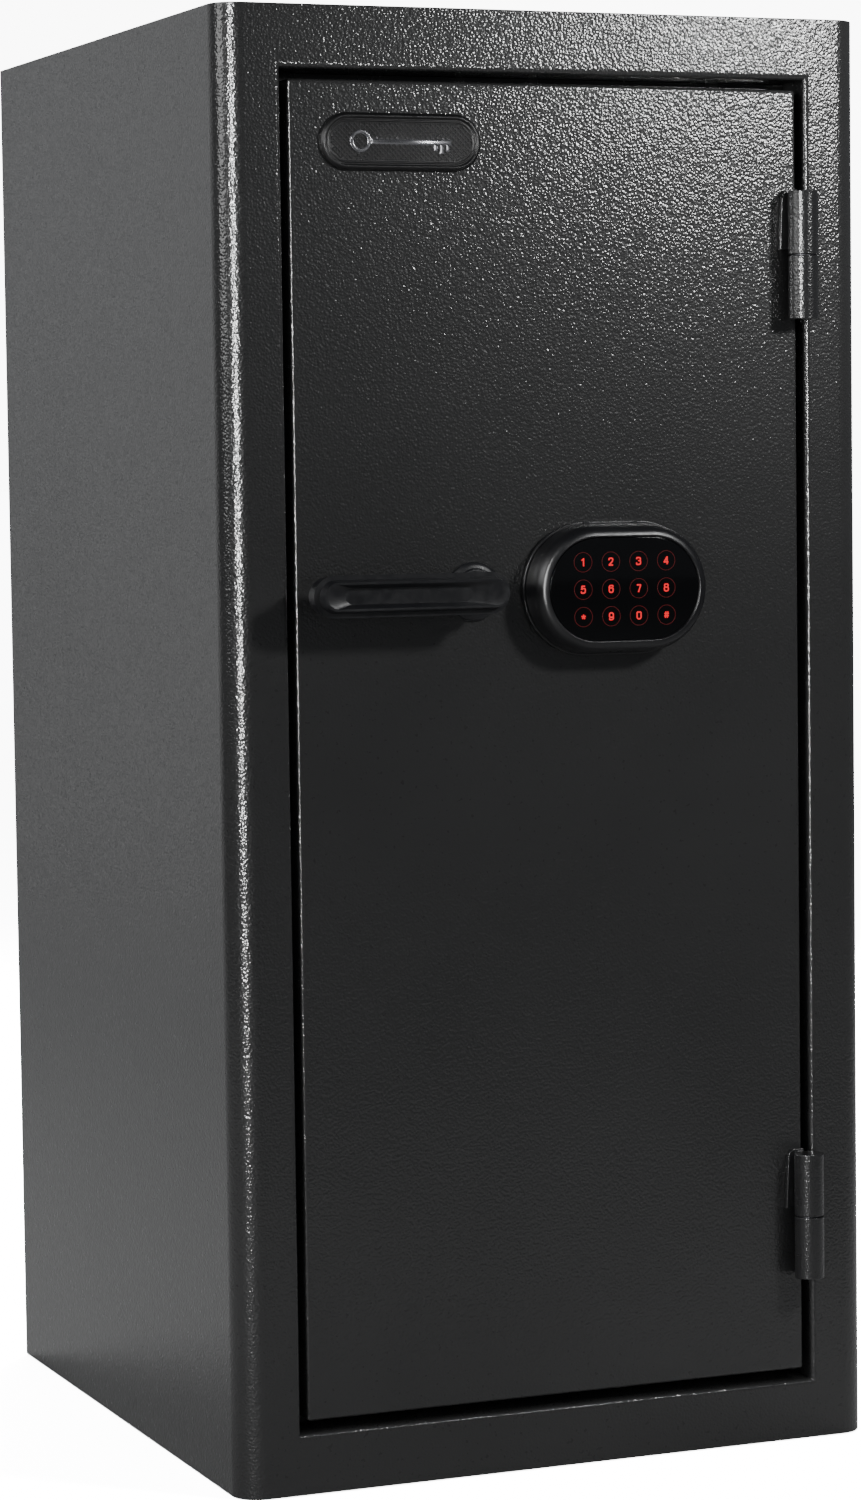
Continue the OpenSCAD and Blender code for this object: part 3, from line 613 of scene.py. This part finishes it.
def make_lever_shell():
    """The grip: an arched bar with half-round ends and a long recess in its face."""
    low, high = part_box("lever_handle")
    left, right, z = low.x, high.x, (low.z + high.z) / 2
    half = (high.z - low.z) / 2
    back = LEVER_BACK
    face = FRONT - low.y
    floor = face - 4.8 * MM
    floor_left, floor_right, floor_half = left + 16 * MM, right - 20 * MM, 3.9 * MM
    # Each ring is (left end, right end, end radius, out), from the back's middle to the recess floor.
    rings = rounded(
        [
            (left + half, right - half, 0, back),
            (left + 1.2 * MM, right - 1.2 * MM, half - 1.2 * MM, back),
            (left, right, half, back + 7 * MM),
            (left + 0.5 * MM, right - 0.3 * MM, half - 0.5 * MM, face - 4.0 * MM),
            (left + 3.7 * MM, right - 1.2 * MM, half - 2.9 * MM, face),
            (left + 4.6 * MM, right - 1.7 * MM, half - 3.8 * MM, face - 0.05 * MM),
            (floor_left, floor_right, floor_half, floor),
            (floor_left + floor_half, floor_right - floor_half, 0, floor),
        ],
        [1.4 * MM, 3 * MM, 1.8 * MM, 0.3 * MM, 0.3 * MM, 0.9 * MM],
        6,
    )
    shell = loft([stadium_ring(*ring[:4], z, 36) for ring in rings])
    new_piece("lever_shell", *shell, "lever_plastic", "handle", "black_plastic", ("lever_handle",), 60)


def make_lever_neck():
    """The flared neck between the rosette and the grip."""
    neck_end, neck_start = LEVER_BACK + 0.5 * MM, 2.6 * MM
    neck = rounded(
        [
            (0, neck_end), (9.6 * MM, neck_end), (7.6 * MM, 11 * MM), (7.6 * MM, neck_start),
            (0, neck_start),
        ],
        [0.2 * MM, 2.5 * MM, 0.4 * MM],
    )
    neck_mesh = turned(neck, middle("handle_spindle"))
    new_piece("lever_neck", *neck_mesh, "lever_plastic", "handle", "black_plastic")


def make_handle_rose():
    """The rosette: a stepped ring round the neck."""
    rose = rounded(
        [
            (8.2 * MM, -2 * MM), (14.8 * MM, -2 * MM), (14.8 * MM, -0.4 * MM), (13.2 * MM, 0.9 * MM),
            (11.4 * MM, 1.3 * MM), (11 * MM, 2.2 * MM), (8.2 * MM, 2.3 * MM), (8.2 * MM, -2 * MM),
        ],
        [0.2 * MM, 0.6 * MM, 1.2 * MM, 0.5 * MM, 0.4 * MM, 0.3 * MM],
    )
    rose_mesh = turned(rose, middle("handle_spindle"))
    new_piece("handle_rose", *rose_mesh, "lever_plastic", "door", "black_plastic", ("handle_rosette",))


# ---------------------------------------------------------------- keypad

KEYPAD_LOW, KEYPAD_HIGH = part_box("keypad_housing")
KEYPAD_CENTRE = (KEYPAD_LOW + KEYPAD_HIGH) / 2
KEYPAD_RADIUS = (KEYPAD_HIGH.z - KEYPAD_LOW.z) / 2
KEYPAD_RUN = (KEYPAD_HIGH.x - KEYPAD_LOW.x) / 2 - KEYPAD_RADIUS
KEYPAD_SEAM = 1.7 * MM
PANEL_LOW, PANEL_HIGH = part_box("keypad_touch_panel")
PANEL_RADIUS = (PANEL_HIGH.z - PANEL_LOW.z) / 2
GLASS = FRONT - PANEL_LOW.y


def keypad_shell(name, profile, radii, finish, slot, replaces=()):
    """A ring-shaped moulding: (end radius, out) pairs carried round the keypad's outline and closed."""
    loop = rounded([profile[-1], *profile, profile[0]], radii)[1:-1]
    rings = stadium_rings(loop, KEYPAD_CENTRE, KEYPAD_RUN, 40)
    new_piece(name, *loft(rings, True), finish, "door", slot, replaces, 40)


def make_keypad_shells():
    """The two halves of the housing, with a narrow seam between them and a dark core behind it."""
    outer, seam = KEYPAD_RADIUS, KEYPAD_SEAM
    face = FRONT - KEYPAD_LOW.y
    half_gap, half_core = 0.3 * MM, 0.6 * MM
    foot = -1.2 * MM
    fit = PANEL_RADIUS + 0.12 * MM
    keypad_shell(
        "keypad_back_shell",
        [
            (outer - 3 * MM, foot),
            (outer - 0.1 * MM, foot),
            (outer, seam - half_gap),
            (outer - 3 * MM, seam - half_gap),
        ],
        [0.1 * MM, 0.4 * MM, 0.5 * MM, 0.1 * MM],
        "keypad_plastic", "black_plastic",
    )
    keypad_shell(
        "keypad_front_shell",
        [
            (fit, seam + half_gap),
            (outer - 1.0 * MM, seam + half_gap),
            (outer - 1.7 * MM, face - 5.2 * MM),
            (outer - 4.4 * MM, face - 0.9 * MM),
            (PANEL_RADIUS + 0.9 * MM, face),
            (fit, GLASS - 0.5 * MM),
        ],
        [0.1 * MM, 0.5 * MM, 3.4 * MM, 2.4 * MM, 0.5 * MM, 0.1 * MM],
        "keypad_plastic", "black_plastic", ("keypad_housing",),
    )
    keypad_shell(
        "keypad_seam_core",
        [
            (outer - 3 * MM, seam - half_core),
            (outer - 2.0 * MM, seam - half_core),
            (outer - 2.0 * MM, seam + half_core),
            (outer - 3 * MM, seam + half_core),
        ],
        [0.05 * MM] * 4,
        "rubber", "rubber",
    )


def make_keypad_clips():
    """Two tapered clips that bridge the seam at the top."""
    half_deep, foot, tip = 0.8 * MM, KEYPAD_RADIUS - 2 * MM, KEYPAD_RADIUS - 0.3 * MM
    outline = ((-2 * MM, foot), (2 * MM, foot), (1.5 * MM, tip), (-1.5 * MM, tip))
    clips = []
    for x in (KEYPAD_CENTRE.x - 14.5 * MM, KEYPAD_CENTRE.x + 12.5 * MM):
        rows = [
            [(x + dx, FRONT - out, KEYPAD_CENTRE.z + dz) for dx, dz in outline]
            for out in (KEYPAD_SEAM - half_deep, KEYPAD_SEAM + half_deep)
        ]
        verts, faces = loft(rows)
        clips.append((verts, faces + [(3, 2, 1, 0), (4, 5, 6, 7)]))
    new_piece("keypad_clips", *gather(clips), "keypad_plastic", "door", "black_plastic")


def make_touch_glass():
    half, back = PANEL_RADIUS - 0.02 * MM, GLASS - 1.8 * MM
    profile = rounded([(0, back), (half, back), (half, GLASS), (0, GLASS)], [0.1 * MM, 0.12 * MM])
    panel = loft(stadium_rings(profile, KEYPAD_CENTRE, KEYPAD_RUN, 40))
    new_piece("touch_glass", *panel, "touch_glass", "door", "gloss_black", ("keypad_touch_panel",))


# Strokes of each sign on a cell one unit high: a line's points and the radii of its inner corners.
SIGNS = {
    "0": [([(0, 0.42), (0.27, 0.42), (0.27, -0.42), (-0.27, -0.42), (-0.27, 0.42), (0, 0.42)],
           [0.27] * 4)],
    "1": [([(0.07, -0.5), (0.07, 0.5)], []), ([(0.07, 0.42), (-0.2, 0.22)], [])],
    "2": [([(-0.25, 0.17), (-0.25, 0.42), (0.25, 0.42), (0.25, 0.08), (-0.25, -0.42), (0.3, -0.42)],
           [0.25, 0.25, 0.16, 0.02])],
    "3": [([(-0.25, 0.22), (-0.25, 0.42), (0.24, 0.42), (0.24, 0.04), (-0.06, 0.04)], [0.24, 0.24, 0.19]),
          ([(-0.06, 0.04), (0.27, 0.04), (0.27, -0.42), (-0.27, -0.42), (-0.27, -0.18)],
           [0.22, 0.24, 0.24])],
    "4": [([(0.14, -0.5), (0.14, 0.5)], []), ([(0.12, 0.44), (-0.27, -0.2), (0.32, -0.2)], [0.02])],
    "5": [([(0.24, 0.42), (-0.18, 0.42), (-0.23, -0.02)], [0.02]),
          ([(-0.23, 0.0), (-0.08, 0.14), (0.26, 0.14), (0.26, -0.42), (-0.27, -0.42), (-0.27, -0.2)],
           [0.08, 0.24, 0.26, 0.2])],
    "6": [([(0, 0.12), (0.26, 0.12), (0.26, -0.42), (-0.26, -0.42), (-0.26, 0.12), (0, 0.12)],
           [0.25] * 4),
          ([(-0.26, -0.15), (-0.26, 0.42), (0.24, 0.42), (0.24, 0.24)], [0.28, 0.2])],
    "7": [([(-0.28, 0.42), (0.26, 0.42), (-0.06, -0.5)], [0.02])],
    "8": [([(0, 0.42), (0.23, 0.42), (0.23, 0.04), (-0.23, 0.04), (-0.23, 0.42), (0, 0.42)], [0.19] * 4),
          ([(0, 0.04), (0.27, 0.04), (0.27, -0.42), (-0.27, -0.42), (-0.27, 0.04), (0, 0.04)],
           [0.23] * 4)],
    "*": [([(0, 0), (0.3 * math.sin(a), 0.3 * math.cos(a))], [])
          for a in (math.tau * i / 5 for i in range(5))],
    "#": [([(-0.17, -0.4), (-0.07, 0.4)], []), ([(0.09, -0.4), (0.19, 0.4)], []),
          ([(-0.3, 0.14), (0.32, 0.14)], []), ([(-0.32, -0.14), (0.3, -0.14)], [])],
}
SIGNS["9"] = [([(-x, -y) for x, y in points], radii) for points, radii in SIGNS["6"]]


def ribbon(line, half, low, high):
    """A flat printed line along 2-D points on the front, between two distances out."""
    rings = []
    for i, point in enumerate(line):
        along = (line[min(i + 1, len(line) - 1)] - line[max(i - 1, 0)]).normalized() * half
        left, right = point + Vector((-along.y, along.x)), point + Vector((along.y, -along.x))
        section = ((left, low), (right, low), (right, high), (left, high))
        rings.append([(p.x, FRONT - out, p.y) for p, out in section])
    verts, faces = loft(rings)
    end = len(verts)
    return verts, faces + [(3, 2, 1, 0), (end - 4, end - 3, end - 2, end - 1)]


def make_legends():
    """Lit signs inside thin printed rings, four to a row."""
    low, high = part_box("keypad_rings")
    cad_ring = 10.5 * MM
    spread = Vector((high.x - low.x - cad_ring, high.z - low.z - cad_ring))
    sign_height = 4.05 * MM
    half_stroke = 0.095 * sign_height
    crest = GLASS + 0.05 * MM
    ring_out, ring_in = 4.98 * MM, 4.8 * MM
    ring_profile = [
        (ring_in, GLASS), (ring_out, GLASS), (ring_out, crest), (ring_in, crest), (ring_in, GLASS),
    ]
    strokes = []
    rings = []
    for row, text in enumerate(("1234", "5678", "*90#")):
        for column, sign in enumerate(text):
            x = KEYPAD_CENTRE.x + (column / 3 - 0.5) * spread.x
            z = KEYPAD_CENTRE.z + (0.5 - row / 2) * spread.y
            key = Vector((x, 0, z))
            for points, radii in SIGNS[sign]:
                line = rounded(points, radii, 8)
                placed = [Vector((x, z)) + sign_height * point for point in line]
                strokes.append(ribbon(placed, half_stroke, GLASS, crest))
            rings.append(turned(ring_profile, key, 48))
    new_piece("key_legends", *gather(strokes), "legend_print", "door", "key_marking")
    new_piece("key_rings", *gather(rings), "ring_print", "door", "key_marking", ("keypad_rings",))


# ---------------------------------------------------------------- badge

def make_badge():
    low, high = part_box("badge_plate")
    centre = (low + high) / 2
    half = (high.z - low.z) / 2
    run = (high.x - low.x) / 2 - half
    back, well, bead, rim = -2 * MM, 0.2 * MM, 0.55 * MM, 1.0 * MM
    profile = rounded(
        [
            (0, back),
            (half, back),
            (half, -0.7 * MM),
            (half - 1.4 * MM, rim),
            (half - 2.3 * MM, rim),
            (half - 2.9 * MM, well),
            (half - 3.5 * MM, well),
            (half - 3.8 * MM, bead),
            (half - 4.3 * MM, bead),
            (half - 4.6 * MM, well),
            (0, well),
        ],
        [0.1 * MM, 0.5 * MM, 0.7 * MM, 0.3 * MM, 0.3 * MM] + [0.15 * MM] * 4,
    )
    shell = loft(stadium_rings(profile, centre, run, 28))
    new_piece("badge_rim", *shell, "badge_plastic", "door", "badge_face", ("badge_plate",), 38)
    make_badge_hatch(centre, half - 5.0 * MM, run)
    make_badge_key(centre)


def inside_stadium(x, z, run, radius):
    return math.hypot(max(abs(x) - run, 0), z) <= radius


def make_badge_hatch(centre, radius, run):
    """Fine ribs in both diagonals over the badge's face, each cut off where it meets the rim."""
    pitch, half_rib, foot = 1.9 * MM, 0.6 * MM, 0.1 * MM
    step, fewest = 0.25 * MM, 5
    reach = run + radius
    count = int(reach / pitch * 1.5)
    ribs = []
    for slope, across, crest in (
        (Vector((1, -1)).normalized(), Vector((1, 1)).normalized(), 0.60 * MM),
        (Vector((1, 1)).normalized(), Vector((1, -1)).normalized(), 0.48 * MM),
    ):
        for i in range(-count, count + 1):
            origin = across * (i * pitch)
            span = [t * step for t in range(-int(2 * reach / step), int(2 * reach / step) + 1)]
            hits = [t for t in span if inside_stadium(*(origin + slope * t), run, radius)]
            if len(hits) >= fewest:
                a = origin + slope * hits[0]
                b = origin + slope * hits[-1]
                start, end = (centre.x + a.x, centre.z + a.y), (centre.x + b.x, centre.z + b.y)
                ribs.append(bar(start, end, half_rib, foot, crest))
    new_piece("badge_hatch", *gather(ribs), "badge_plastic", "door", "badge_face", ("badge_inlay",), 20)


def make_badge_key(centre):
    """A plain key outline: a ring, a shank and three teeth."""
    foot, crest = 0.2 * MM, 1.15 * MM
    bow = Vector((centre.x - 22 * MM, 0, centre.z))
    ring = rounded(
        [(3.4 * MM, foot), (3.8 * MM, crest), (5.4 * MM, crest), (5.9 * MM, foot), (3.4 * MM, foot)],
        [0.25 * MM, 0.25 * MM, 0.1 * MM],
    )
    pieces = [turned(ring, bow, 48)]
    z = centre.z
    tip = centre.x + 27 * MM
    half_shank, half_tooth = 1.6 * MM, 1.2 * MM
    pieces.append(bar((bow.x + 5.2 * MM, z), (tip, z), half_shank, foot, crest))
    for x, drop in ((tip - 9 * MM, 4.6 * MM), (tip - 5.8 * MM, 6.0 * MM), (tip - 2.6 * MM, 4.6 * MM)):
        pieces.append(bar((x, z - 0.6 * MM), (x, z - drop), half_tooth, foot, crest))
    new_piece("badge_key", *gather(pieces), "emblem_finish", "door", "badge_face")


# ---------------------------------------------------------------- put together

make_camera()
make_lights()
make_world()
make_floor()
make_materials()
paint_cad_nodes()
make_painted_steel()
make_lever_shell()
make_lever_neck()
make_handle_rose()
make_keypad_shells()
make_keypad_clips()
make_touch_glass()
make_legends()
make_badge()
